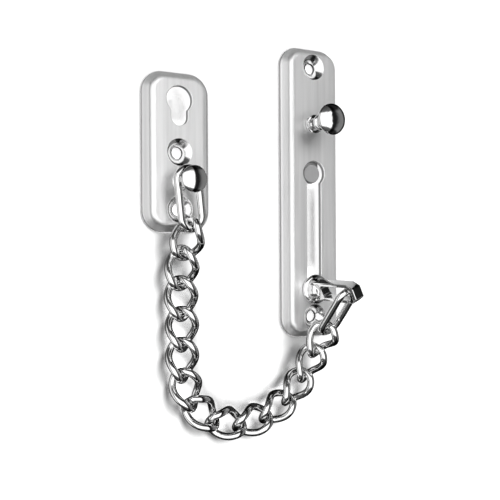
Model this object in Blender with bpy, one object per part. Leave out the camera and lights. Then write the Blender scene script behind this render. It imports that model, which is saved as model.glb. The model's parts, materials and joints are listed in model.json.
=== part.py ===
"""Door chain guard: a slotted track plate with a slide bolt, a twisted-link chain and a frame plate.

The guard lies on the backs of its two plates. +Z is the plates' outward normal and +Y runs up
the plates. The origin is under the middle of the whole guard, on the plane the plates rest on.
"""
import math

import bmesh
import bpy
from mathutils import Matrix, Vector

MM = 0.001

# Pressed plates, shared by both
PLATE_WIDTH = 26.4 * MM
PLATE_DEPTH = 5.2 * MM         # back plane to face
# Inset from the rim and height above the back: outside, then inside
PLATE_OUTSIDE = ((0.0, 0.0), (0.0, 1.1), (0.35, 1.7), (2.35, 4.7), (2.8, 5.1), (3.4, 5.2))
PLATE_INSIDE = ((1.8, -1.0), (1.8, 0.8), (4.1, 3.4))
CORNER_CUT = 4.6 * MM
CORNER_RADIUS = 2.4 * MM
TRACK_CENTRE_X = 29.4 * MM
TRACK_LENGTH = 118.0 * MM
FRAME_LENGTH = 59.6 * MM
SCREW_INSET = 8.2 * MM         # screw hole centre to the plate's end
SCREW_RADIUS = 2.2 * MM
COUNTERSINK_RADIUS = 4.9 * MM
DISH = ((3.4, 1.0), (6.2, 3.8), (6.2, 4.4))  # radius and height, mm: sheet pressed in under a screw hole
THROUGH = (-1.0 * MM, PLATE_DEPTH + 1.0 * MM)  # from below a plate to above it

# Track plate's keyhole slot, and the frame plate's parking keyhole
ENTRY_RADIUS = 5.0 * MM
SLOT_HALF_WIDTH = 3.25 * MM
ENTRY_Y = 66.6 * MM            # heights above the track plate's lower end
SLOT_END_Y = 19.0 * MM
KNOB_Y = 86.5 * MM
BUSH_HOLE_RADIUS = 2.65        # mm
PARK_ENTRY_INSET = 10.7 * MM   # circle centre to the frame plate's upper end
PARK_DROP = 6.4 * MM           # circle centre to lobe centre
STUD_INSET = 18.3 * MM         # stud to the frame plate's lower end
STUD_HOLE_RADIUS = 1.95        # mm
FRAME_UPPER_SCREW = 29.4 * MM  # upper screw hole to the frame plate's lower end

# Leaf spring behind the track plate
LEAF_RIVET_Y = 100.0 * MM
LEAF_Y = (62.6 * MM, 103.4 * MM)
LEAF_HALF_WIDTH = 3.6 * MM
LEAF_Z = (1.9 * MM, 2.3 * MM)
LEAF_CORNER_RADIUS = 3.0 * MM
LEAF_HOLE_RADIUS = 1.35        # mm

# Turned pieces: radius and height above the plate's back, in mm; hollow ones as a closed section
KNOB_PROFILE = (
    (1.3, 2.65), (1.3, 9.6), (2.9, 9.6), (3.3, 10.1), (3.1, 10.9), (2.4, 11.2), (2.4, 12.1),
    (3.2, 12.5), (3.2, 13.2), (2.5, 13.9), (2.7, 15.4), (4.6, 16.7), (5.9, 17.5), (6.2, 18.2),
    (5.9, 19.1), (4.9, 20.0), (3.4, 20.7), (1.7, 21.1), (0.5, 21.2),
)
BUSH_SECTION = ((1.65, 2.9), (2.3, 2.9), (2.3, 5.55), (3.9, 5.55), (3.9, 6.3), (3.5, 6.7), (1.65, 6.7))
DISC_PROFILE = ((3.5, 2.6), (3.7, 2.8), (3.7, 3.4), (3.5, 3.6))
RIVET_PROFILE = ((2.3, 0.9), (2.3, 1.3), (2.0, 1.5), (1.0, 1.5), (1.0, 3.05))
FOOT_SECTION = ((1.85, 2.25), (4.4, 2.25), (4.4, 3.05), (1.85, 3.05))
BOLT_PROFILE = (
    (1.5, 1.9), (1.5, 3.4), (2.8, 3.4), (2.8, 5.6), (5.6, 5.6), (6.0, 5.9), (6.0, 6.4),
    (5.5, 6.9), (4.7, 7.2), (4.5, 8.2), (3.9, 9.6), (2.9, 10.6),
)
STUD_PROFILE = (
    (3.2, 2.3), (3.2, 3.05), (1.6, 3.05), (1.6, 5.55), (3.4, 5.55), (3.4, 6.2), (3.0, 6.6),
    (2.2, 6.8), (2.2, 16.4), (2.6, 17.4), (4.1, 18.5), (4.75, 19.1), (4.9, 19.6),
    (4.6, 20.1), (2.4, 20.6), (0.5, 20.9),
)

# Slide bolt
BOLT_Y = 19.4 * MM
BOLT_TURN = math.radians(24.0)   # the eye's thickness direction, from +X
EYE_WIDTH = 7.8 * MM
EYE_THICKNESS = 3.6 * MM
EYE_BASE_Z = 8.6 * MM
EYE_TIP_Z = 35.0 * MM
WINDOW_WIDTH = 5.0 * MM
WINDOW_Z = (13.0 * MM, 31.8 * MM)
WINDOW_CORNER_RADIUS = 1.6 * MM
EYE_EDGE = 0.45 * MM
EYE_TIP_HALF_WIDTH = 2.0 * MM
EYE_TAPER = 3.4 * MM           # height over which the tip narrows

# Chain
WIRE = 2.75 * MM
LINK_LENGTH = 17.4 * MM
LINK_WIDTH = 12.9 * MM
LINK_TWIST = math.radians(47.0)  # turn of each end out of the link's own plane
LINK_SQUARENESS = 2.35           # 2 is an ellipse
LINK_PLAY = 0.45 * MM            # between the wires of two links, end to end
LINK_PITCH = LINK_LENGTH - 2 * WIRE - LINK_PLAY
END_WIRE = 2.8 * MM
END_LENGTH = 24.8 * MM
END_WIDTH = 11.7 * MM
END_PLAY = 0.35 * MM             # between an end link's wire and what it holds
# End link's wire in the window: along the eye's thickness and width, and above the plate's back
EYE_HOLD = Vector((1.2 * MM, 0.2 * MM, 28.6 * MM))

# How each link lies at rest, from the bolt to the frame plate, in degrees:
# heading in the plane from +X, rise above the plane, and roll about its own length
END_LINK_LIE = (-97.0, -39.0, -20.0)
LINK_LIES = (
    (-100, -33, 12), (-108, -19, 3), (-128, -7, -4), (-151, 0, 0), (-170, 0, 0),
    (-193, 0, 2), (-221, 0, 4), (-251, 0, 4), (-270, 0, 0), (-270, 0, -2),
    (-266, 4, -10), (-271, 13, -21), (-281, 20, -32),
)
FRAME_END_LIE = (-262.0, 5.0, 10.0)

STEEL = ((0.70, 0.70, 0.71, 1.0), 0.34, 1.0)
CHROME = ((0.78, 0.78, 0.79, 1.0), 0.08, 1.0)
SPRING = ((0.42, 0.42, 0.43, 1.0), 0.40, 1.0)


def clear_scene():
    for obj in list(bpy.data.objects):
        bpy.data.objects.remove(obj)


def material(name, look):
    """Return the Principled material for one sub-part."""
    colour, roughness, metallic = look
    mat = bpy.data.materials.new(name)
    mat.use_nodes = True
    shader = mat.node_tree.nodes["Principled BSDF"]
    shader.inputs["Base Color"].default_value = colour
    shader.inputs["Roughness"].default_value = roughness
    shader.inputs["Metallic"].default_value = metallic
    return mat


def add_object(name, data, look=None, matrix=Matrix()):
    """Place a mesh or curve as a named object; without a look it is a hidden cutter."""
    obj = bpy.data.objects.new(name, data)
    bpy.context.scene.collection.objects.link(obj)
    obj.matrix_world = matrix
    if look is None:
        obj.hide_render = True
        obj.display_type = "WIRE"
    elif not data.materials:
        data.materials.append(material(name, look))
    return obj


def mesh_from(bm, name):
    """Turn a bmesh into a mesh with its faces pointing out."""
    bmesh.ops.recalc_face_normals(bm, faces=bm.faces)
    mesh = bpy.data.meshes.new(name)
    bm.to_mesh(mesh)
    bm.free()
    return mesh


def loft(name, loops):
    """Join closed loops of equal length, in order, and cap both ends."""
    bm = bmesh.new()
    rings = [[bm.verts.new(point) for point in loop] for loop in loops]
    count = len(rings[0])
    for low, high in zip(rings, rings[1:]):
        for i in range(count):
            j = (i + 1) % count
            bm.faces.new((low[i], low[j], high[j], high[i]))
    bm.faces.new(rings[0])
    bm.faces.new(rings[-1])
    return mesh_from(bm, name)


def turned(name, profile, segments=32):
    """Revolve a profile of (radius, height) pairs, in millimetres, about Z."""
    loops = []
    for radius, height in profile:
        ring = []
        for i in range(segments):
            angle = 2 * math.pi * i / segments
            ring.append(Vector((radius * math.cos(angle), radius * math.sin(angle), height)) * MM)
        loops.append(ring)
    return loft(name, loops)


def turned_hollow(name, section, segments=28):
    """Revolve a closed section of (radius, height) pairs, in millimetres, about Z."""
    bm = bmesh.new()
    rings = []
    for i in range(segments):
        angle = 2 * math.pi * i / segments
        turn = Vector((math.cos(angle), math.sin(angle), 0.0))
        rings.append([bm.verts.new((turn * r + Vector((0, 0, z))) * MM) for r, z in section])
    for i in range(segments):
        this, following = rings[i], rings[(i + 1) % segments]
        for j in range(len(section)):
            k = (j + 1) % len(section)
            bm.faces.new((this[j], this[k], following[k], following[j]))
    return mesh_from(bm, name)


def add_boolean(obj, other, operation):
    modifier = obj.modifiers.new(operation.title(), "BOOLEAN")
    modifier.operation = operation
    modifier.object = other


def rounded(points, radius, steps=3):
    """Round each corner of a convex outline."""
    outline = []
    count = len(points)
    for i, corner in enumerate(points):
        before = (points[i - 1] - corner).normalized()
        after = (points[(i + 1) % count] - corner).normalized()
        half = before.angle(after) / 2
        reach = radius / math.tan(half)
        start = corner + before * reach
        end = corner + after * reach
        centre = corner + (before + after).normalized() * (radius / math.sin(half))
        for step in range(steps):
            mix = start.lerp(end, step / (steps - 1))
            outline.append(centre + (mix - centre).normalized() * radius)
    return outline


def plate_outline(length, inset, height):
    """The plate's rim outline, moved inwards by inset, at a height above its back."""
    half_width = PLATE_WIDTH / 2 - inset
    low = inset
    high = length - inset
    cut = CORNER_CUT - inset * (2 - math.sqrt(2))
    corners = [
        Vector((-half_width + cut, low)), Vector((half_width - cut, low)),
        Vector((half_width, low + cut)), Vector((half_width, high - cut)),
        Vector((half_width - cut, high)), Vector((-half_width + cut, high)),
        Vector((-half_width, high - cut)), Vector((-half_width, low + cut)),
    ]
    return [Vector((p.x, p.y, height)) for p in rounded(corners, CORNER_RADIUS)]


def keyhole_outline(entry_radius, half_width, drop, height, steps=9):
    """A round entry with a straight, round-ended slot running drop below its centre."""
    mouth = math.asin(half_width / entry_radius)
    points = []
    for i in range(2 * steps + 1):
        angle = -math.pi / 2 + mouth + (2 * math.pi - 2 * mouth) * i / (2 * steps)
        points.append(Vector((math.cos(angle), math.sin(angle), 0)) * entry_radius)
    for i in range(steps + 1):
        angle = math.pi + math.pi * i / steps
        across = math.cos(angle) * half_width
        along = math.sin(angle) * half_width - drop
        points.append(Vector((across, along, 0)))
    return [point + Vector((0, 0, height)) for point in points]


def moved(mesh, x, y):
    mesh.transform(Matrix.Translation((x, y, 0)))
    return mesh


def joined(name, meshes):
    """Gather separate bodies into one mesh."""
    bm = bmesh.new()
    for mesh in meshes:
        bm.from_mesh(mesh)
    return mesh_from(bm, name)


def screw_hole():
    """A countersunk through hole, its cone reaching the plate's face."""
    radius = SCREW_RADIUS / MM
    sink = COUNTERSINK_RADIUS / MM
    face = PLATE_DEPTH / MM
    bottom, top = (z / MM for z in THROUGH)
    cone_foot = face - (sink - radius)
    return turned("screw_hole", [(radius, bottom), (radius, cone_foot), (sink, face), (sink, top)])


def pressed_plate(name, length, screw_heights, keyhole, stem_hole, place):
    """A pressed tray with dished screw holes, a keyhole and one hole for a riveted stem."""
    outside = [plate_outline(length, inset * MM, z * MM) for inset, z in PLATE_OUTSIDE]
    inside = [plate_outline(length, inset * MM, z * MM) for inset, z in PLATE_INSIDE]
    dishes = [moved(turned("dish", DISH), 0, y) for y in screw_heights]
    holes = [moved(screw_hole(), 0, y) for y in screw_heights]
    keyhole_y, entry_radius, half_width, drop = keyhole
    slot = loft("slot", [keyhole_outline(entry_radius, half_width, drop, z) for z in THROUGH])
    stem_y, stem_radius = stem_hole
    stem = turned("stem_hole", [(stem_radius, z / MM) for z in THROUGH], 24)
    holes += [moved(slot, 0, keyhole_y), moved(stem, 0, stem_y)]
    plate = add_object(name, loft(name, outside), STEEL, place)
    cavity = add_object(name + "_cavity", loft("cavity", inside), None, place)
    add_boolean(plate, cavity, "DIFFERENCE")
    add_boolean(plate, add_object(name + "_dishes", joined("dishes", dishes), None, place), "UNION")
    add_boolean(plate, add_object(name + "_holes", joined("holes", holes), None, place), "DIFFERENCE")


def track_plate(base):
    keyhole = (ENTRY_Y, ENTRY_RADIUS, SLOT_HALF_WIDTH, ENTRY_Y - SLOT_END_Y)
    screws = (SCREW_INSET, TRACK_LENGTH - SCREW_INSET)
    pressed_plate("track_plate", TRACK_LENGTH, screws, keyhole, (KNOB_Y, BUSH_HOLE_RADIUS), base)


def release_parts(base):
    """Sprung knob, its bush, the leaf spring and its rivet, and the disc that blocks the slot's entry."""
    knob_place = base @ Matrix.Translation((0, KNOB_Y, 0))
    add_object("knob_bush", turned_hollow("knob_bush", BUSH_SECTION), CHROME, knob_place)
    add_object("release_knob", turned("release_knob", KNOB_PROFILE, 28), CHROME, knob_place)
    disc_place = base @ Matrix.Translation((0, ENTRY_Y, 0))
    add_object("blocking_disc", turned("blocking_disc", DISC_PROFILE, 28), SPRING, disc_place)
    leaf_spring(base)
    rivet_place = base @ Matrix.Translation((0, LEAF_RIVET_Y, 0))
    add_object("leaf_rivet", turned("leaf_rivet", RIVET_PROFILE, 24), SPRING, rivet_place)


def leaf_spring(base):
    """A flat strip from the rivet to the blocking disc."""
    low, high = LEAF_Y
    corners = [Vector((-LEAF_HALF_WIDTH, low)), Vector((LEAF_HALF_WIDTH, low)),
               Vector((LEAF_HALF_WIDTH, high)), Vector((-LEAF_HALF_WIDTH, high))]
    outline = rounded(corners, LEAF_CORNER_RADIUS, 6)
    loops = [[Vector((p.x, p.y, z)) for p in outline] for z in LEAF_Z]
    leaf = add_object("leaf_spring", loft("leaf_spring", loops), SPRING, base)
    hole = moved(turned("rivet_hole", [(LEAF_HOLE_RADIUS, z / MM) for z in THROUGH], 20), 0, LEAF_RIVET_Y)
    add_boolean(leaf, add_object("leaf_rivet_hole", hole, None, base), "DIFFERENCE")


def slide_bolt(base):
    """The bolt's foot behind the slot, and the flanged bolt whose eye holds the chain."""
    axis = base @ Matrix.Translation((0, BOLT_Y, 0))
    add_object("bolt_foot", turned_hollow("bolt_foot", FOOT_SECTION), CHROME, axis)
    frame = axis @ Matrix.Rotation(BOLT_TURN, 4, "Z")
    bolt = add_object("slide_bolt", turned("slide_bolt", BOLT_PROFILE), CHROME, frame)
    add_boolean(bolt, add_object("eye_blank", eye_blank(), None, frame), "UNION")
    add_boolean(bolt, add_object("eye_window", eye_window(), None, frame), "DIFFERENCE")
    return frame


def eye_blank():
    """A flat bar that tapers to a square tip, with eased edges."""
    shoulder = EYE_TIP_Z - EYE_TAPER
    loops = []
    for side, ease in ((-1, EYE_EDGE), (-1, 0), (1, 0), (1, EYE_EDGE)):
        wide = EYE_WIDTH / 2 - ease
        tip = EYE_TIP_HALF_WIDTH - ease
        top = EYE_TIP_Z - ease
        outline = ((-wide, EYE_BASE_Z), (wide, EYE_BASE_Z), (wide, shoulder),
                   (tip, top), (-tip, top), (-wide, shoulder))
        depth = side * (EYE_THICKNESS / 2 - (EYE_EDGE - ease))
        loops.append([Vector((depth, across, up)) for across, up in outline])
    return loft("eye_blank", loops)


def eye_window():
    """The opening through the eye, cut across its whole thickness."""
    half = WINDOW_WIDTH / 2
    low, high = WINDOW_Z
    corners = [Vector((-half, low)), Vector((half, low)), Vector((half, high)), Vector((-half, high))]
    outline = rounded(corners, WINDOW_CORNER_RADIUS, 4)
    sides = (-EYE_THICKNESS, EYE_THICKNESS)
    return loft("eye_window", [[Vector((x, p.x, p.y)) for p in outline] for x in sides])


def lie(heading, rise, roll):
    """Turn a link's own frame (Y along it, Z out of its plane) to how it lies."""
    turn = Matrix.Rotation(math.radians(heading - 90), 4, "Z")
    return turn @ Matrix.Rotation(math.radians(rise), 4, "X") @ Matrix.Rotation(math.radians(roll), 4, "Y")


def link_path(length, width, wire, twist, count=36):
    """Centre line of a closed link: a squared oval in XY, its ends turned about Y."""
    half_length = (length - wire) / 2
    half_width = (width - wire) / 2
    power = 2 / LINK_SQUARENESS
    points = []
    for i in range(count):
        angle = 2 * math.pi * i / count
        across = half_width * math.copysign(abs(math.sin(angle)) ** power, math.sin(angle))
        along = half_length * math.copysign(abs(math.cos(angle)) ** power, math.cos(angle))
        turn = twist * math.sin(math.pi / 2 * along / half_length)
        points.append(Vector((across * math.cos(turn), along, across * math.sin(turn))))
    return points


def racetrack_path(length, width, wire, count=9):
    """Centre line of a straight-sided link with half-round ends."""
    radius = (width - wire) / 2
    straight = (length - wire) / 2 - radius
    points = []
    for side in (1, -1):
        for i in range(count + 1):
            angle = math.pi * i / count
            across = math.cos(angle) * radius
            along = straight + math.sin(angle) * radius
            points.append(Vector((side * across, side * along, 0)))
        points.append(Vector((-side * radius, side * straight / 3, 0)))
        points.append(Vector((-side * radius, -side * straight / 3, 0)))
    return points


def wire_loop(name, points, wire):
    """A closed round wire through the points."""
    curve = bpy.data.curves.new(name, "CURVE")
    curve.dimensions = "3D"
    curve.bevel_depth = wire / 2
    curve.bevel_resolution = 2
    spline = curve.splines.new("POLY")
    spline.points.add(len(points) - 1)
    for target, point in zip(spline.points, points):
        target.co = (*point, 1.0)
    spline.use_cyclic_u = True
    return curve


def end_link(name, pivot_offset, place):
    """A long link whose own origin is the joint it hangs on; it runs along +Y from there."""
    points = racetrack_path(END_LENGTH, END_WIDTH, END_WIRE)
    centre = Vector((0, (END_LENGTH - END_WIRE) / 2 - pivot_offset, 0))
    curve = wire_loop(name, [point + centre for point in points], END_WIRE)
    return add_object(name, curve, CHROME, place)


def chain(bolt_frame):
    """Hang both end links and the links between them; return where the frame plate's stud stands."""
    place = Matrix.Translation(bolt_frame @ EYE_HOLD) @ lie(*END_LINK_LIE)
    end_link("end_link_bolt", 0.0, place)
    reach = END_LENGTH - 1.5 * END_WIRE - END_PLAY
    joint = place @ Vector((0, reach, 0))
    points = link_path(LINK_LENGTH, LINK_WIDTH, WIRE, LINK_TWIST)
    centre = Vector((0, LINK_PITCH / 2, 0))
    curve = wire_loop("chain_link", [point + centre for point in points], WIRE)
    for number, link_lie in enumerate(LINK_LIES, start=1):
        place = Matrix.Translation(joint) @ lie(*link_lie)
        add_object(f"link_{number:02d}", curve, CHROME, place)
        joint = place @ Vector((0, LINK_PITCH, 0))
    place = Matrix.Translation(joint) @ lie(*FRAME_END_LIE)
    end_link("end_link_frame", END_WIRE / 2 + END_PLAY, place)
    return place @ Vector((0, END_LENGTH - END_WIDTH / 2 - END_WIRE - END_PLAY, 0))


def frame_plate(stud):
    """The plate on the door frame, with the stud that the chain hangs on."""
    place = Matrix.Translation((stud.x, stud.y - STUD_INSET, 0))
    keyhole = (FRAME_LENGTH - PARK_ENTRY_INSET, ENTRY_RADIUS, SLOT_HALF_WIDTH, PARK_DROP)
    screws = (SCREW_INSET, FRAME_UPPER_SCREW)
    pressed_plate("frame_plate", FRAME_LENGTH, screws, keyhole, (STUD_INSET, STUD_HOLE_RADIUS), place)
    stud_place = place @ Matrix.Translation((0, STUD_INSET, 0))
    add_object("frame_stud", turned("frame_stud", STUD_PROFILE), CHROME, stud_place)


def recentre():
    """Move everything so that the origin is under the middle of the guard."""
    view = bpy.context.evaluated_depsgraph_get()
    corners = []
    for obj in bpy.context.scene.objects:
        if obj.hide_render:
            continue
        solid = obj.evaluated_get(view)
        mesh = solid.to_mesh()
        corners.extend(solid.matrix_world @ vertex.co for vertex in mesh.vertices)
        solid.to_mesh_clear()
    middle = [(min(c[axis] for c in corners) + max(c[axis] for c in corners)) / 2 for axis in (0, 1)]
    shift = Matrix.Translation((-middle[0], -middle[1], 0))
    for obj in bpy.context.scene.objects:
        obj.matrix_world = shift @ obj.matrix_world


def shade():
    for obj in bpy.context.scene.objects:
        if obj.type == "MESH":
            obj.data.shade_smooth()
            obj.data.set_sharp_from_angle(angle=math.radians(35))


def main():
    clear_scene()
    base = Matrix.Translation((TRACK_CENTRE_X, 0, 0))
    track_plate(base)
    release_parts(base)
    bolt_frame = slide_bolt(base)
    stud = chain(bolt_frame)
    frame_plate(stud)
    bpy.context.view_layer.update()
    recentre()
    shade()


main()
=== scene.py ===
"""Door chain guard lying on a pale floor: satin steel plates, polished fittings and a twisted-link chain."""

import json
import math

import bmesh
import bpy
from mathutils import Matrix, Vector

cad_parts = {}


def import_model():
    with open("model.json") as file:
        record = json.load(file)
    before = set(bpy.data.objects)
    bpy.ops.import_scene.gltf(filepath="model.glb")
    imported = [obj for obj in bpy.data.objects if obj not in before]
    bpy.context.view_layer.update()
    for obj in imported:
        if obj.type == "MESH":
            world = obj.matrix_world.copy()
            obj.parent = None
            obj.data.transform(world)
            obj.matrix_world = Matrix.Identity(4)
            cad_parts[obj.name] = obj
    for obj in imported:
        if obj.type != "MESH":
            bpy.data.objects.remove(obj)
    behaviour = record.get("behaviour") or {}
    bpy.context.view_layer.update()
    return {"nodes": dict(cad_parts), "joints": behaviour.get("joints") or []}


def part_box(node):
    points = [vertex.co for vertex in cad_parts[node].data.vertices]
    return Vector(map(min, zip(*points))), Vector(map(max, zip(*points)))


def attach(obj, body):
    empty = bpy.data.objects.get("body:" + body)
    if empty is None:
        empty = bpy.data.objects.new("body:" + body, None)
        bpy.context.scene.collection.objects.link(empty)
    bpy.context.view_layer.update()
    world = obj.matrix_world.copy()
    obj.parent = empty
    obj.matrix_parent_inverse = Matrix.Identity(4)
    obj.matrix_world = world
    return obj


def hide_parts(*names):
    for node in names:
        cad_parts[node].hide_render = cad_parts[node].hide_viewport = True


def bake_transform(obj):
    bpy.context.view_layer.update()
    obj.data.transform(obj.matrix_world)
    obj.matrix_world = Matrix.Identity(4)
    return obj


MM = 0.001

# Camera: fitted to both plates
LENS_PX = 700.0
IMAGE_PX = 500.0
SENSOR = 36.0
CAMERA_YAW = math.radians(27.32)
CAMERA_ROLL = math.radians(-0.32)
CAMERA_FROM_TRACK = Vector((-154.26, 35.51, 246.62)) * MM   # from the middle of the track plate's lower end

# Plates
TRACK_LENGTH = 118.0 * MM
FRAME_LENGTH = 59.6 * MM
CORNER_CUT = 4.6 * MM
LEAST_CORNER_CUT = 1.0 * MM
CORNER_ROUNDING = 1.68      # corner radius over corner cut; 1.707 leaves no straight cut
SCREW_INSET = 8.2 * MM
SCREW_RADIUS = 2.2          # in millimetres, as are the next two
SINK_RADIUS = 4.9
FACE_Z = 5.2
ENTRY_RADIUS = 5.0 * MM
SLOT_HALF_WIDTH = 3.25 * MM
ENTRY_Y = 66.6 * MM
SLOT_END_Y = 19.0 * MM
PARK_ENTRY_INSET = 10.7 * MM
PARK_DROP = 6.4 * MM
FRAME_UPPER_SCREW = 29.4 * MM
PLATE_PROFILE = (   # inset from the rim and height, in millimetres
    (0.0, 0.0), (0.0, 0.9), (0.08, 1.12), (0.3, 1.34), (0.6, 1.62), (1.75, 3.1), (2.0, 3.55), (2.1, 4.15),
    (2.22, 4.5), (2.45, 4.78), (2.8, 5.0), (3.2, 5.13), (3.8, 5.2), (4.05, 5.2),
)
CAVITY_PROFILE = ((1.8, -1.0), (1.8, 0.8), (4.1, 3.4))     # as above, for the hollow behind the face
KEYHOLE_EDGE = (   # height and growth of the opening, in millimetres
    (-2.0, 0.0), (4.86, 0.0), (4.98, 0.03), (5.08, 0.09), (5.15, 0.18), (5.21, 0.34), (6.0, 0.36),
)

# Turned fittings: radius and height above the plates' backs, in millimetres
KNOB_PROFILE = (
    (0.6, 2.65), (1.3, 2.65), (1.3, 9.6), (2.9, 9.6), (3.3, 10.1), (3.1, 10.9), (2.4, 11.2), (2.4, 12.1),
    (3.2, 12.5), (3.2, 13.2), (2.5, 13.9), (2.7, 15.4), (4.6, 16.7), (5.8, 17.45), (6.2, 18.15),
    (6.05, 18.75), (5.5, 19.4), (4.7, 20.02), (3.6, 20.6), (2.4, 21.0), (1.2, 21.18), (0.25, 21.22),
)
COLLAR_PROFILE = (
    (1.65, 2.9), (2.3, 2.9), (2.3, 5.55), (3.9, 5.55), (3.95, 6.1), (3.7, 6.5), (3.2, 6.72),
    (2.2, 6.74), (1.75, 6.6),
)
STUD_PROFILE = (
    (3.2, 2.3), (3.2, 3.05), (1.6, 3.05), (1.6, 5.55), (3.4, 5.55), (3.4, 6.2), (3.0, 6.6), (2.2, 6.8),
    (2.2, 16.4), (2.6, 17.4), (4.1, 18.3), (4.7, 18.7), (4.9, 19.1), (4.75, 19.5), (4.35, 19.85),
    (3.7, 20.2), (2.8, 20.52), (1.9, 20.76), (1.0, 20.9), (0.3, 20.94),
)
BOLT_PROFILE = (
    (0.5, 1.9), (1.5, 1.9), (1.5, 3.4), (2.8, 3.4), (2.8, 5.6), (5.6, 5.6), (5.95, 5.85), (6.0, 6.2),
    (5.85, 6.6), (5.4, 6.95), (4.75, 7.2), (4.5, 8.2), (3.9, 9.6), (2.9, 10.6), (1.0, 10.9),
)

# Leaf spring
LEAF_STATIONS = 64
LEAF_CORNER = 3.0 * MM
LEAF_HOLE_RADIUS = 1.35

# Slide bolt
BOLT_TURN = math.radians(24.0)
EYE_WIDTH = 7.8 * MM
EYE_THICKNESS = 4.1 * MM
EYE_BASE_Z = 8.6 * MM
EYE_TIP_Z = 35.0 * MM
EYE_SHOULDER = 3.4 * MM     # from the shoulders up to the tip
EYE_TIP_EXTRA = 0.2 * MM    # half width at the tip, over half the thickness
EYE_EASING = 0.4 * MM
WINDOW_WIDTH = 5.0 * MM
WINDOW_Z = (13.0 * MM, 31.8 * MM)
WINDOW_CORNER = 1.6 * MM

# Chain
WIRE = 2.75 * MM
WIRE_SHOWN = 2.8 * MM
LINK_LENGTH = 17.4 * MM
LINK_WIDTH = 12.9 * MM
LINK_TWIST = math.radians(47.0)
LINK_SLACK = 0.45 * MM
LINK_PITCH = LINK_LENGTH - 2 * WIRE - LINK_SLACK
LINK_SQUARENESS = 2.35      # 2 is an ellipse; more is fuller at the corners
END_WIRE = 2.8 * MM
END_LENGTH = 24.8 * MM
END_WIDTH = 11.7 * MM
END_GRIP = 0.35 * MM
WELD_OFFSET = 1.6 * MM
WELD_REACH = 0.9 * MM
WELD_HEIGHT = 0.07          # over the wire's radius
END_LINK_LIE = (-97.0, -39.0, -20.0)   # heading, rise and roll, in degrees
LINK_LIES = (
    (-100, -33, 12), (-108, -19, 3), (-128, -7, -4), (-151, 0, 0), (-170, 0, 0),
    (-193, 0, 2), (-221, 0, 4), (-251, 0, 4), (-270, 0, 0), (-270, 0, -2),
    (-266, 4, -10), (-271, 13, -21), (-281, 20, -32),
)
FRAME_END_LIE = (-262.0, 5.0, 10.0)

# Studio panels: lean from overhead towards +X in degrees, or |Y| of the direction, with the brightness there
PANELS_ACROSS = (
    (-180, 0.02), (-125, 0.12), (-108, 0.72), (-90, 0.62), (-77, 0.01), (-64, 1.0), (14, 1.0),
    (20, 0.01), (36, 0.01), (55, 0.14), (84, 0.16), (95, 0.02), (180, 0.02),
)
PANELS_ALONG = ((0.0, 1.0), (0.55, 1.0), (0.68, 0.10), (1.0, 0.04))
PANEL_STRENGTH = 1.32       # as reflections see the panels
PANEL_FILL = 0.92           # as matt surfaces see them
BACKDROP = 1.25             # as the camera sees the studio
SUN_FROM = Vector((0.26, 0.32, 1.0))
SUN_ANGLE = math.radians(34.0)
SUN_STRENGTH = 3.8

# Floor: openness (0 shut in, 1 open) with the painted shadow there, as the paper's brightness, or with the
# painted light (a glow) added there
FLOOR_HALF = 2.0
FLOOR_Z = -0.2 * MM
PAINTED_LIGHT_REACH = 9.0 * MM
PAINTED_SHADOW_LEVELS = ((0.0, 1.0), (0.46, 1.0), (0.6, 0.46), (0.94, 1.0), (1.0, 1.0))
PAINTED_POCKET_GLOW = ((0.0, 0.75), (0.42, 0.75), (0.56, 0.0), (1.0, 0.0))

# Shading
SMOOTH_BELOW = 32.0         # degrees between faces
WIRE_SMOOTH_BELOW = 60.0
NOISE_SPAN = (0.3, 0.7)     # where most of the noise lies


# ---------------------------------------------------------------- materials

def node_material(name, base, metallic, roughness):
    """A Principled material, its tree, its shader and an object-space coordinate output."""
    mat = bpy.data.materials.new(name)
    mat.use_nodes = True
    tree = mat.node_tree
    shader = tree.nodes["Principled BSDF"]
    shader.inputs["Base Color"].default_value = (*base, 1.0)
    shader.inputs["Metallic"].default_value = metallic
    shader.inputs["Roughness"].default_value = roughness
    coords = tree.nodes.new("ShaderNodeTexCoord").outputs["Object"]
    return mat, tree, shader, coords


def stretched_noise(tree, coords, scale, detail=3.0):
    """Noise with its own scale, in cells per metre, along each axis."""
    mapping = tree.nodes.new("ShaderNodeMapping")
    mapping.inputs["Scale"].default_value = scale
    tree.links.new(coords, mapping.inputs["Vector"])
    noise = tree.nodes.new("ShaderNodeTexNoise")
    noise.inputs["Scale"].default_value = 1.0
    noise.inputs["Detail"].default_value = detail
    tree.links.new(mapping.outputs["Vector"], noise.inputs["Vector"])
    return noise.outputs["Fac"]


def remap(tree, value, low, high):
    """Spread a noise over low to high."""
    node = tree.nodes.new("ShaderNodeMapRange")
    node.inputs["From Min"].default_value = NOISE_SPAN[0]
    node.inputs["From Max"].default_value = NOISE_SPAN[1]
    node.inputs["To Min"].default_value = low
    node.inputs["To Max"].default_value = high
    tree.links.new(value, node.inputs["Value"])
    return node.outputs["Result"]


def blend_colours(tree, value, first, second):
    node = tree.nodes.new("ShaderNodeMix")
    node.data_type = "RGBA"
    node.inputs["A"].default_value = (*first, 1.0)
    node.inputs["B"].default_value = (*second, 1.0)
    tree.links.new(value, node.inputs["Factor"])
    return node.outputs["Result"]


def ramp_of(tree, value, stops):
    """A grey colour ramp through (position, level) stops."""
    ramp = tree.nodes.new("ShaderNodeValToRGB")
    elements = ramp.color_ramp.elements
    while len(elements) < len(stops):
        elements.new(0.5)
    for element, (position, level) in zip(elements, stops):
        element.position = position
        element.color = (level, level, level, 1.0)
    tree.links.new(value, ramp.inputs["Fac"])
    return ramp.outputs["Color"]


def maths(tree, operation, first, second=None):
    node = tree.nodes.new("ShaderNodeMath")
    node.operation = operation
    for socket, value in zip(node.inputs, (first, second)):
        if isinstance(value, (int, float)):
            socket.default_value = value
        elif value is not None:
            tree.links.new(value, socket)
    return node.outputs["Value"]


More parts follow.
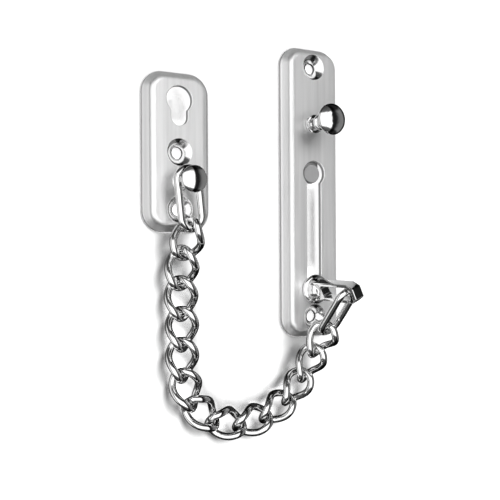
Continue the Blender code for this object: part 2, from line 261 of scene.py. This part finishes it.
def add_bump(tree, shader, height, distance, strength):
    bump = tree.nodes.new("ShaderNodeBump")
    bump.inputs["Distance"].default_value = distance
    bump.inputs["Strength"].default_value = strength
    tree.links.new(height, bump.inputs["Height"])
    tree.links.new(bump.outputs["Normal"], shader.inputs["Normal"])


def satin_steel():
    """Stainless sheet with fine lines along the plate."""
    mat, tree, shader, coords = node_material("satin_steel", (0.8, 0.8, 0.8), 0.75, 0.36)
    lines = stretched_noise(tree, coords, (4200, 60, 4200), 4.0)
    cloud = stretched_noise(tree, coords, (520, 16, 520), 3.0)
    tree.links.new(remap(tree, lines, 0.29, 0.43), shader.inputs["Roughness"])
    shade = blend_colours(tree, remap(tree, cloud, 0.0, 1.0), (0.82, 0.82, 0.82), (0.96, 0.96, 0.96))
    tree.links.new(shade, shader.inputs["Base Color"])
    add_bump(tree, shader, lines, 0.00002, 0.35)
    return mat


def polished(name, base, roughness, waves):
    """Chrome plate: bright, with faint waves from the formed metal under it and light handling marks."""
    mat, tree, shader, coords = node_material(name, (base, base, base), 1.0, roughness)
    smears = stretched_noise(tree, coords, (420, 420, 420), 4.0)
    tree.links.new(remap(tree, smears, roughness * 0.6, roughness * 1.5), shader.inputs["Roughness"])
    tint = blend_colours(tree, smears, (base * 0.93,) * 3, (min(1.0, base * 1.06),) * 3)
    tree.links.new(tint, shader.inputs["Base Color"])
    add_bump(tree, shader, stretched_noise(tree, coords, (waves, waves, waves), 1.5), 0.0001, 0.14)
    return mat


def spring_steel():
    """Dull grey sheet with a rolled grain."""
    mat, tree, shader, coords = node_material("spring_steel", (0.3, 0.3, 0.3), 0.55, 0.5)
    grain = stretched_noise(tree, coords, (1800, 300, 1800), 4.0)
    tree.links.new(remap(tree, grain, 0.42, 0.6), shader.inputs["Roughness"])
    shade = blend_colours(tree, grain, (0.33, 0.33, 0.335), (0.42, 0.42, 0.42))
    tree.links.new(shade, shader.inputs["Base Color"])
    add_bump(tree, shader, grain, 0.00003, 0.3)
    return mat


def paper_with_painted_shadow_and_glow():
    """White paper with a painted shadow near what lies on it and painted light, a glow, deep in the plates'
    openings.
    """
    mat, tree, shader, coords = node_material("paper_with_painted_shadow_and_glow", (0.9, 0.9, 0.9), 0.0, 0.9)
    fibre = stretched_noise(tree, coords, (300, 300, 300), 3.0)
    paper = blend_colours(tree, fibre, (0.89, 0.89, 0.89), (0.92, 0.92, 0.92))
    painted_light_mask = tree.nodes.new("ShaderNodeAmbientOcclusion")
    painted_light_mask.inputs["Distance"].default_value = PAINTED_LIGHT_REACH
    # Painted shadow: the paper is darkened where the occlusion finds it shut in, beside and under what lies
    # on it.
    dim = ramp_of(tree, painted_light_mask.outputs["AO"], PAINTED_SHADOW_LEVELS)
    paper_with_painted_shadow = tree.nodes.new("ShaderNodeMix")
    paper_with_painted_shadow.data_type = "RGBA"
    paper_with_painted_shadow.blend_type = "MULTIPLY"
    paper_with_painted_shadow.inputs["Factor"].default_value = 1.0
    tree.links.new(paper, paper_with_painted_shadow.inputs["A"])
    tree.links.new(dim, paper_with_painted_shadow.inputs["B"])
    tree.links.new(paper_with_painted_shadow.outputs["Result"], shader.inputs["Base Color"])
    # Painted light: the paper glows where it is deeply shut in, so the floor seen through the plates'
    # openings looks lit.
    tree.links.new(ramp_of(tree, painted_light_mask.outputs["AO"], PAINTED_POCKET_GLOW), shader.inputs["Emission Color"])
    shader.inputs["Emission Strength"].default_value = 1.0
    return mat


# ---------------------------------------------------------------- mesh building

def mesh_object(bm, name, mat, smooth_angle=SMOOTH_BELOW):
    """An object from a bmesh, smooth except across edges sharper than smooth_angle degrees."""
    bmesh.ops.recalc_face_normals(bm, faces=bm.faces)
    mesh = bpy.data.meshes.new(name)
    bm.to_mesh(mesh)
    bm.free()
    mesh.shade_smooth()
    mesh.set_sharp_from_angle(angle=math.radians(smooth_angle))
    if mat is not None:
        mesh.materials.append(mat)
    obj = bpy.data.objects.new(name, mesh)
    bpy.context.scene.collection.objects.link(obj)
    return obj


def bridge(bm, rings, closed_rows):
    """Join consecutive rings of points with quads; closed_rows also joins the last ring to the first."""
    made = [[bm.verts.new(point) for point in ring] for ring in rings]
    count = len(made[0])
    pairs = list(zip(made, made[1:]))
    if closed_rows:
        pairs.append((made[-1], made[0]))
    for low, high in pairs:
        for i in range(count):
            j = (i + 1) % count
            bm.faces.new((low[i], low[j], high[j], high[i]))
    return made


def loft(name, loops, mat):
    """A closed solid through loops of points, with a flat end at each end."""
    bm = bmesh.new()
    made = bridge(bm, loops, False)
    bm.faces.new(made[0])
    bm.faces.new(made[-1])
    return mesh_object(bm, name, mat)


def circle(radius, height, segments):
    """A level ring of points; radius and height are in millimetres."""
    points = []
    for i in range(segments):
        angle = 2 * math.pi * i / segments
        points.append(Vector((radius * math.cos(angle), radius * math.sin(angle), height)) * MM)
    return points


def turned(name, profile, mat, segments=64, hollow=False):
    """Revolve (radius, height) pairs, in millimetres, about Z."""
    rings = [circle(radius, height, segments) for radius, height in profile]
    if not hollow:
        return loft(name, rings, mat)
    bm = bmesh.new()
    bridge(bm, rings, True)
    return mesh_object(bm, name, mat)


def eased(points, amount, steps=3):
    """Ease every corner of an open profile of (radius, height) pairs but its two ends."""
    result = [points[0]]
    for before, corner, after in zip(points, points[1:], points[2:]):
        a, c, b = Vector(before), Vector(corner), Vector(after)
        reach = min(amount, (a - c).length * 0.45, (b - c).length * 0.45)
        start = c + (a - c).normalized() * reach
        end = c + (b - c).normalized() * reach
        for step in range(steps + 1):
            t = step / steps
            point = start * (1 - t) ** 2 + c * 2 * t * (1 - t) + end * t ** 2
            result.append((point.x, point.y))
    result.append(points[-1])
    return result


def rounded(points, radius, steps=6):
    """Round each corner of a convex outline."""
    outline = []
    count = len(points)
    for i, corner in enumerate(points):
        before = (points[i - 1] - corner).normalized()
        after = (points[(i + 1) % count] - corner).normalized()
        half = before.angle(after) / 2
        start = corner + before * radius / math.tan(half)
        end = corner + after * radius / math.tan(half)
        centre = corner + (before + after).normalized() * (radius / math.sin(half))
        for step in range(steps):
            mix = start.lerp(end, step / (steps - 1))
            outline.append(centre + (mix - centre).normalized() * radius)
    return outline


def closed_tube(name, path, radius, mat, place, swell=None, segments=20):
    """A round wire along a closed path that stays near its own XY plane."""
    bm = bmesh.new()
    rings = []
    count = len(path)
    for i, point in enumerate(path):
        along = (path[(i + 1) % count] - path[i - 1]).normalized()
        up = Vector((0, 0, 1))
        up = (up - along * up.dot(along)).normalized()
        side = along.cross(up)
        thick = radius * (1.0 if swell is None else swell(point))
        ring = []
        for j in range(segments):
            angle = 2 * math.pi * j / segments
            ring.append(point + (up * math.cos(angle) + side * math.sin(angle)) * thick)
        rings.append(ring)
    bridge(bm, rings, True)
    obj = mesh_object(bm, name, mat, WIRE_SMOOTH_BELOW)
    obj.matrix_world = place
    return obj


def cut(obj, cutters):
    """Subtract the cutters from a mesh, then shade it again."""
    for cutter in cutters:
        modifier = obj.modifiers.new("Cut", "BOOLEAN")
        modifier.operation = "DIFFERENCE"
        modifier.object = cutter
    bpy.context.view_layer.update()
    solid = obj.evaluated_get(bpy.context.evaluated_depsgraph_get())
    mesh = bpy.data.meshes.new_from_object(solid)
    obj.modifiers.clear()
    obj.data = mesh
    mesh.shade_smooth()
    mesh.set_sharp_from_angle(angle=math.radians(SMOOTH_BELOW))
    for cutter in cutters:
        bpy.data.objects.remove(cutter)
    flatten = obj.modifiers.new("Flat faces stay flat", "WEIGHTED_NORMAL")
    flatten.weight = 100
    flatten.keep_sharp = True


# ---------------------------------------------------------------- placing

def settle(obj, body, slot, *nodes):
    """Ride on a CAD body and stand for CAD nodes; the slot argument is not used."""
    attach(obj, body)
    if nodes:
        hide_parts(*nodes)


def lie(heading, rise, roll):
    """Point local +Y along the heading, then raise it and roll about it, all in degrees."""
    turn = Matrix.Rotation(math.radians(heading - 90), 4, "Z")
    return turn @ Matrix.Rotation(math.radians(rise), 4, "X") @ Matrix.Rotation(math.radians(roll), 4, "Y")


def middle(node):
    low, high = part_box(node)
    return (low + high) / 2


def plate_base(node):
    """A plate's place at the middle of its lower end on its back plane, its length and its width."""
    low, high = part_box(node)
    return Matrix.Translation(((low.x + high.x) / 2, low.y, 0.0)), high.y - low.y, high.x - low.x


# ---------------------------------------------------------------- plates

def plate_outline(width, length, inset, height):
    """The plate's outline, inset all round, with rounded corners."""
    half = width / 2 - inset
    low, high = inset, length - inset
    corner = max(CORNER_CUT - inset * (2 - math.sqrt(2)), LEAST_CORNER_CUT)
    corners = [
        Vector((-half + corner, low)), Vector((half - corner, low)), Vector((half, low + corner)),
        Vector((half, high - corner)), Vector((half - corner, high)), Vector((-half + corner, high)),
        Vector((-half, high - corner)), Vector((-half, low + corner)),
    ]
    return [Vector((p.x, p.y, height)) for p in rounded(corners, CORNER_ROUNDING * corner, steps=9)]


def keyhole_outline(entry_radius, half_width, drop, height, steps=18):
    """A round entry about the origin with a slot that runs down to a round end."""
    mouth = math.asin(half_width / entry_radius)
    points = []
    for i in range(2 * steps + 1):
        angle = -math.pi / 2 + mouth + (2 * math.pi - 2 * mouth) * i / (2 * steps)
        points.append(Vector((math.cos(angle), math.sin(angle), 0)) * entry_radius)
    for i in range(steps + 1):
        angle = math.pi + math.pi * i / steps
        points.append(Vector((math.cos(angle), math.sin(angle), 0)) * half_width - Vector((0, drop, 0)))
    return [point + Vector((0, 0, height)) for point in points]


def keyhole_cutter(centre_y, drop, place):
    """A keyhole whose upper edge is broken by a small rounded chamfer."""
    loops = []
    for height, growth in KEYHOLE_EDGE:
        grow = growth * MM
        loops.append(keyhole_outline(ENTRY_RADIUS + grow, SLOT_HALF_WIDTH + grow, drop, height * MM))
    cutter = loft("keyhole", loops, None)
    cutter.matrix_world = place @ Matrix.Translation((0, centre_y, 0))
    return cutter


def screw_dish(name, body, place, polish):
    """The polished lining of a dished screw hole."""
    profile = (
        (SINK_RADIUS + 0.22, FACE_Z - 0.02), (SINK_RADIUS + 0.1, FACE_Z + 0.05),
        (SINK_RADIUS - 0.12, FACE_Z - 0.03), (SCREW_RADIUS + 0.25, 2.75), (SCREW_RADIUS - 0.02, 2.4),
        (SCREW_RADIUS - 0.02, 1.02), (SCREW_RADIUS + 0.6, 1.02), (SCREW_RADIUS + 0.6, 2.0),
        (SINK_RADIUS + 0.1, FACE_Z - 0.3),
    )
    dish = turned(name, profile, polish, segments=56, hollow=True)
    dish.matrix_world = place
    settle(dish, body, "satin_plate")


def pressed_plate(node, body, keyhole, screws, steel, polish):
    """A pressed tray; keyhole is its entry's height up the plate and the slot's drop below it."""
    place, length, width = plate_base(node)
    loops = [plate_outline(width, length, i * MM, z * MM) for i, z in PLATE_PROFILE]
    plate = loft(node + "_sheet", loops, steel)
    cavity = loft("cavity", [plate_outline(width, length, i * MM, z * MM) for i, z in CAVITY_PROFILE], None)
    plate.matrix_world = place
    cavity.matrix_world = place
    cutters = [cavity, keyhole_cutter(*keyhole, place)]
    outer, inner = SINK_RADIUS + 0.1, SCREW_RADIUS + 0.3
    for y in screws:
        hole = turned("hole", ((inner, -2.0), (inner, 2.4), (outer, FACE_Z), (outer, 6.5)), None)
        hole.matrix_world = place @ Matrix.Translation((0, y, 0))
        cutters.append(hole)
    cut(plate, cutters)
    settle(plate, body, "satin_plate", node)
    for number, y in enumerate(screws, start=1):
        screw_dish(f"{node}_dish_{number}", body, place @ Matrix.Translation((0, y, 0)), polish)


# ---------------------------------------------------------------- fittings

def release_knob(polish):
    """Sprung knob and the collar its stem runs in."""
    base = middle("knob_bush")
    place = Matrix.Translation((base.x, base.y, 0))
    obj = turned("knob_turned", eased(KNOB_PROFILE, amount=0.35), polish)
    obj.matrix_world = place
    settle(obj, "release", "polished", "release_knob")
    obj = turned("knob_collar", COLLAR_PROFILE, polish, hollow=True)
    obj.matrix_world = place
    settle(obj, "track", "polished", "knob_bush")


def frame_stud(polish):
    """Round stud with a mushroom head."""
    base = middle("frame_stud")
    obj = turned("stud_turned", eased(STUD_PROFILE, amount=0.3), polish)
    obj.matrix_world = Matrix.Translation((base.x, base.y, 0))
    settle(obj, "frame", "polished", "frame_stud")


def bolt_eye(polish, place):
    """The flat eye: a tapered bar with eased edges and a long window."""
    bm = bmesh.new()
    half, tip = EYE_WIDTH / 2, EYE_THICKNESS / 2 + EYE_TIP_EXTRA
    shoulder = EYE_TIP_Z - EYE_SHOULDER
    outline = [Vector((-half, EYE_BASE_Z)), Vector((half, EYE_BASE_Z)), Vector((half, shoulder)),
               Vector((tip, EYE_TIP_Z)), Vector((-tip, EYE_TIP_Z)), Vector((-half, shoulder))]
    sides = (-EYE_THICKNESS / 2, EYE_THICKNESS / 2)
    made = bridge(bm, [[Vector((x, p.x, p.y)) for p in outline] for x in sides], False)
    bm.faces.new(made[0])
    bm.faces.new(made[-1])
    eye = mesh_object(bm, "bolt_eye", polish)
    wide = WINDOW_WIDTH / 2
    corners = [Vector((-wide, WINDOW_Z[0])), Vector((wide, WINDOW_Z[0])), Vector((wide, WINDOW_Z[1])),
               Vector((-wide, WINDOW_Z[1]))]
    levels = (-3 * EYE_THICKNESS, 3 * EYE_THICKNESS)
    opening = rounded(corners, WINDOW_CORNER)
    window = loft("window", [[Vector((x, p.x, p.y)) for p in opening] for x in levels], None)
    cut(eye, [window])
    eye.matrix_world = place
    edge = eye.modifiers.new("Eased edges", "BEVEL")
    edge.width = EYE_EASING
    edge.segments = 3
    edge.angle_limit = math.radians(35)
    edge.harden_normals = True
    settle(eye, "bolt", "polished", "slide_bolt")


def slide_bolt(polish):
    """Flanged bolt on its foot, with the eye on top."""
    base = middle("bolt_foot")
    place = Matrix.Translation((base.x, base.y, 0)) @ Matrix.Rotation(BOLT_TURN, 4, "Z")
    obj = turned("bolt_body", eased(BOLT_PROFILE, amount=0.25), polish)
    obj.matrix_world = place
    settle(obj, "bolt", "polished")
    bolt_eye(polish, place)


def leaf_spring(spring):
    """The flat strip from its rivet to the blocking disc."""
    low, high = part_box("leaf_spring")
    rivet, knob = middle("leaf_rivet"), middle("release_knob")
    half, centre = (high.x - low.x) / 2, (high.x + low.x) / 2
    rings = []
    for i in range(LEAF_STATIONS + 1):
        y = low.y + (high.y - low.y) * i / LEAF_STATIONS
        into_corner = max(0.0, LEAF_CORNER - min(y - low.y, high.y - y))
        wide = half - LEAF_CORNER + math.sqrt(LEAF_CORNER ** 2 - into_corner ** 2)
        corners = ((-wide, low.z), (wide, low.z), (wide, high.z), (-wide, high.z))
        rings.append([Vector((centre + x, y, z)) for x, z in corners])
    leaf = loft("leaf_strip", rings, spring)
    hole = turned("rivet_hole", [(LEAF_HOLE_RADIUS, 0.0), (LEAF_HOLE_RADIUS, 4.0)], None)
    hole.matrix_world = Matrix.Translation((rivet.x, rivet.y, 0))
    cut(leaf, [hole])
    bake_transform(leaf)
    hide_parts("leaf_spring")


# ---------------------------------------------------------------- chain

def link_path(count=72):
    """The middle of a twisted link's wire, from its own joint along +Y."""
    half_length = (LINK_LENGTH - WIRE) / 2
    half_width = (LINK_WIDTH - WIRE) / 2
    power = 2 / LINK_SQUARENESS
    points = []
    for i in range(count):
        angle = 2 * math.pi * (i + 0.5) / count
        across = half_width * math.copysign(abs(math.sin(angle)) ** power, math.sin(angle))
        along = half_length * math.copysign(abs(math.cos(angle)) ** power, math.cos(angle))
        turn = LINK_TWIST * math.sin(math.pi / 2 * along / half_length)
        points.append(Vector((across * math.cos(turn), along + LINK_PITCH / 2, across * math.sin(turn))))
    return points


def racetrack_path(centre_y, count=22, pieces=12):
    """The middle of a long link's wire: two half circles and two straights cut into pieces."""
    radius = (END_WIDTH - END_WIRE) / 2
    straight = (END_LENGTH - END_WIRE) / 2 - radius
    points = []
    for side in (1, -1):
        for i in range(count + 1):
            angle = math.pi * i / count
            across, along = math.cos(angle) * radius, straight + math.sin(angle) * radius
            points.append(Vector((side * across, side * along, 0)))
        for i in range(1, pieces):
            points.append(Vector((-side * radius, side * straight * (1 - 2 * i / pieces), 0)))
    return [point + Vector((0, centre_y, 0)) for point in points]


def weld_swell(centre_y):
    """The butt weld: a low collar half way along one strand."""
    def swell(point):
        if point.x > 0:
            return 1.0
        distance = abs(point.y - centre_y - WELD_OFFSET) / WELD_REACH
        return 1.0 + WELD_HEIGHT * math.exp(-distance ** 2)
    return swell


def chain(polish, joints):
    """Every link hangs on its own joint, where the wires cross."""
    links = link_path()
    for number, link_lie in enumerate(LINK_LIES, start=1):
        name = f"link_{number:02d}"
        place = Matrix.Translation(joints[name]) @ lie(*link_lie)
        obj = closed_tube(f"chain_{name}", links, WIRE_SHOWN / 2, polish, place)
        settle(obj, name, "polished", name)
    half = (END_LENGTH - END_WIRE) / 2
    ends = (("end_link_bolt", 0.0, END_LINK_LIE), ("end_link_frame", END_WIRE / 2 + END_GRIP, FRAME_END_LIE))
    for name, offset, end_lie in ends:
        place = Matrix.Translation(joints[name]) @ lie(*end_lie)
        centre_y = half - offset
        path, swell = racetrack_path(centre_y), weld_swell(centre_y)
        obj = closed_tube(f"long_{name}", path, END_WIRE / 2, polish, place, swell)
        settle(obj, name, "polished", name)


# ---------------------------------------------------------------- stage

def floor():
    """A wide sheet of paper that the polished fittings don't reflect."""
    bm = bmesh.new()
    half = FLOOR_HALF
    corners = ((-half, -half), (half, -half), (half, half), (-half, half))
    bm.faces.new([bm.verts.new((x, y, FLOOR_Z)) for x, y in corners])
    obj = mesh_object(bm, "floor", paper_with_painted_shadow_and_glow())
    obj.visible_glossy = False


def studio_world():
    """A dark studio: a long bright panel over the left, a lower one beside it and a dim one on the right."""
    world = bpy.data.worlds.new("studio")
    bpy.context.scene.world = world
    world.use_nodes = True
    tree = world.node_tree
    background = tree.nodes["Background"]
    split = tree.nodes.new("ShaderNodeSeparateXYZ")
    tree.links.new(tree.nodes.new("ShaderNodeTexCoord").outputs["Generated"], split.inputs["Vector"])
    lean = maths(tree, "ARCTAN2", split.outputs["X"], split.outputs["Z"])
    turn = maths(tree, "MULTIPLY_ADD", lean, 1 / math.tau)
    turn.node.inputs[2].default_value = 0.5
    across = ramp_of(tree, turn, [((degrees + 180) / 360, level) for degrees, level in PANELS_ACROSS])
    along = ramp_of(tree, maths(tree, "ABSOLUTE", split.outputs["Y"]), PANELS_ALONG)
    tree.links.new(maths(tree, "MULTIPLY", across, along), background.inputs["Color"])
    light_path = tree.nodes.new("ShaderNodeLightPath")
    strength = maths(tree, "MULTIPLY_ADD", light_path.outputs["Is Diffuse Ray"], PANEL_FILL - PANEL_STRENGTH)
    strength.node.inputs[2].default_value = PANEL_STRENGTH
    tree.links.new(strength, background.inputs["Strength"])
    backdrop = tree.nodes.new("ShaderNodeBackground")
    backdrop.inputs["Strength"].default_value = BACKDROP
    choose = tree.nodes.new("ShaderNodeMixShader")
    tree.links.new(light_path.outputs["Is Camera Ray"], choose.inputs[0])
    tree.links.new(background.outputs["Background"], choose.inputs[1])
    tree.links.new(backdrop.outputs["Background"], choose.inputs[2])
    tree.links.new(choose.outputs["Shader"], tree.nodes["World Output"].inputs["Surface"])


def sun():
    """A broad soft key light that leaves no highlight on the chrome."""
    data = bpy.data.lights.new("sun", "SUN")
    data.energy = SUN_STRENGTH
    data.angle = SUN_ANGLE
    obj = bpy.data.objects.new("sun", data)
    bpy.context.scene.collection.objects.link(obj)
    obj.matrix_world = SUN_FROM.to_track_quat("Z", "Y").to_matrix().to_4x4()
    obj.visible_glossy = False


def camera():
    """The photograph's camera, placed from the track plate."""
    base = plate_base("track_plate")[0]
    data = bpy.data.cameras.new("camera")
    data.sensor_width = SENSOR
    data.lens = SENSOR * LENS_PX / IMAGE_PX
    data.clip_start = 10 * MM
    obj = bpy.data.objects.new("camera", data)
    bpy.context.scene.collection.objects.link(obj)
    place = Matrix.Translation(base.translation + CAMERA_FROM_TRACK)
    turn = Matrix.Rotation(-CAMERA_YAW, 4, "Y") @ Matrix.Rotation(CAMERA_ROLL, 4, "Z")
    obj.matrix_world = place @ turn
    bpy.context.scene.camera = obj


def main():
    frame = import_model()
    bpy.context.scene.view_settings.view_transform = "Standard"
    camera()
    steel = satin_steel()
    polish = polished("polished_chrome", base=0.93, roughness=0.06, waves=260)
    dish_polish = polished("polished_dish", base=0.86, roughness=0.14, waves=120)
    spring = spring_steel()
    joints = {joint["child"]: Vector(joint["pos_m"]) for joint in frame["joints"] if "pos_m" in joint}
    pressed_plate("track_plate", "track", (ENTRY_Y, ENTRY_Y - SLOT_END_Y),
                  (SCREW_INSET, TRACK_LENGTH - SCREW_INSET), steel, dish_polish)
    pressed_plate("frame_plate", "frame", (FRAME_LENGTH - PARK_ENTRY_INSET, PARK_DROP),
                  (SCREW_INSET, FRAME_UPPER_SCREW), steel, dish_polish)
    release_knob(polish)
    frame_stud(polish)
    slide_bolt(polish)
    leaf_spring(spring)
    chain(polish, joints)
    for node in ("blocking_disc", "leaf_rivet", "bolt_foot"):
        obj = frame["nodes"][node]
        obj.data.materials.clear()
        obj.data.materials.append(spring if node != "bolt_foot" else polish)
    floor()
    studio_world()
    sun()


main()
